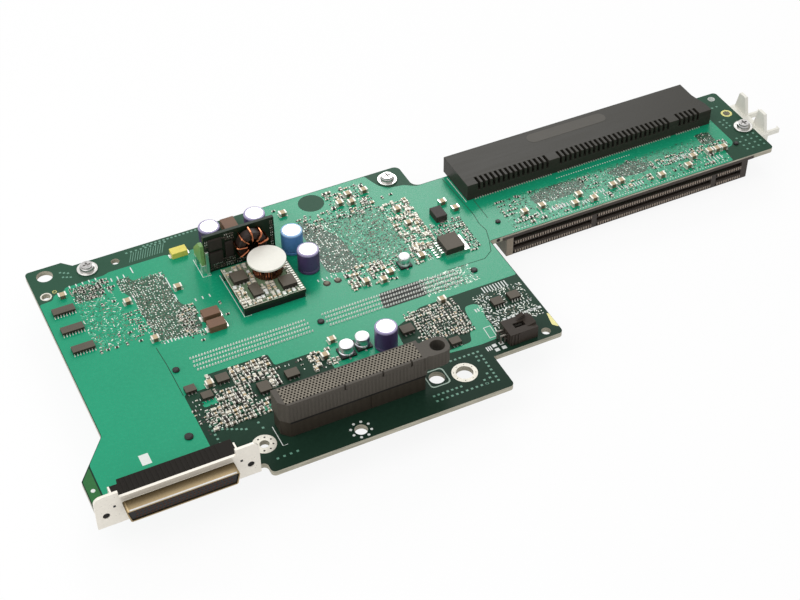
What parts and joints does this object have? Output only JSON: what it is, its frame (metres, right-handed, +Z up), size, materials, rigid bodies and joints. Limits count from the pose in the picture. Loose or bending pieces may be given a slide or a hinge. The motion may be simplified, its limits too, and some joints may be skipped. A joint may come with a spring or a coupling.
{
  "type": "pci-x riser card",
  "caption": "L-shaped riser card with card slots above and below its arm, a grid connector, an external D connector, regulator modules and a latched memory socket.",
  "frame": {"origin": "middle of the card's bounding box, on the surface that its spacers stand on", "axes": "+X along the card to the end of the arm, +Y to the back edge, +Z up from the component side"},
  "size_m": [0.3698, 0.154, 0.0354],
  "materials": {
    "solder_mask": "satin green solder mask",
    "module_mask": "satin green solder mask",
    "pale_bracket": "satin",
    "steel": "nickel plated",
    "nickel": "nickel plated",
    "gold": "gold flash",
    "tin": "tinned",
    "black_plastic": "glossy moulded",
    "brown_plastic": "satin moulded",
    "grey_plastic": "matte moulded",
    "white_plastic": "satin moulded",
    "chip_resin": "matte moulded",
    "ferrite": "matte",
    "copper": "enamelled wire",
    "purple_sleeve": "shrink sleeve",
    "can_metal": "satin",
    "yellow_resin": "satin",
    "brown_resin": "satin",
    "beige_ceramic": "satin",
    "lid_metal": "satin"
  },
  "bodies": {
    "card": {"ball_chip_lids": "lid_metal", "ball_chip_substrates": "module_mask", "brown_tantalums": "brown_resin", "can_capacitors": "purple_sleeve", "ceramic_capacitors": "beige_ceramic", "choke_block": "chip_resin", "circuit_board": "solder_mask", "coil_disc": "white_plastic", "coil_winding": "copper", "connector_body": "black_plastic", "connector_insert": "black_plastic", "connector_shell": "nickel", "diode_block": "chip_resin", "edge_clip": "white_plastic", "flat_module_board": "module_mask", "flat_module_chips": "chip_resin", "flat_module_strips": "black_plastic", "grid_connector_base": "grey_plastic", "grid_connector_cap": "grey_plastic", "header_pins": "tin", "header_shroud": "black_plastic", "lower_slot_contacts": "gold", "lower_slot_housing": "brown_plastic", "memory_socket": "black_plastic", "outline_leads": "tin", "outline_packages": "chip_resin", "power_package": "chip_resin", "power_package_leads": "tin", "power_package_tab": "tin", "screws": "steel", "small_can_bases": "black_plastic", "small_cans": "can_metal", "small_regulators": "chip_resin", "spacers": "nickel", "toroid_core": "ferrite", "toroid_winding": "copper", "upper_slot_contacts": "gold", "upper_slot_housing": "black_plastic", "upright_module_board": "module_mask", "upright_module_bracket": "pale_bracket", "upright_module_chips": "chip_resin", "yellow_tantalum": "yellow_resin"},
    "latch_left": {"memory_latch_left": "white_plastic"},
    "latch_right": {"memory_latch_right": "white_plastic"}
  },
  "joints": [
    {"name": "latch_left_hinge", "type": "hinge", "parent": "card", "child": "latch_left", "pos_m": [-0.1348, -0.00849, 0.00722], "axis": [0, 0.4226, 0.9063], "range_deg": [0, 35]},
    {"name": "latch_right_hinge", "type": "hinge", "parent": "card", "child": "latch_right", "pos_m": [0.01, -0.00849, 0.00722], "axis": [0, -0.4226, -0.9063], "range_deg": [0, 35]}
  ]
}
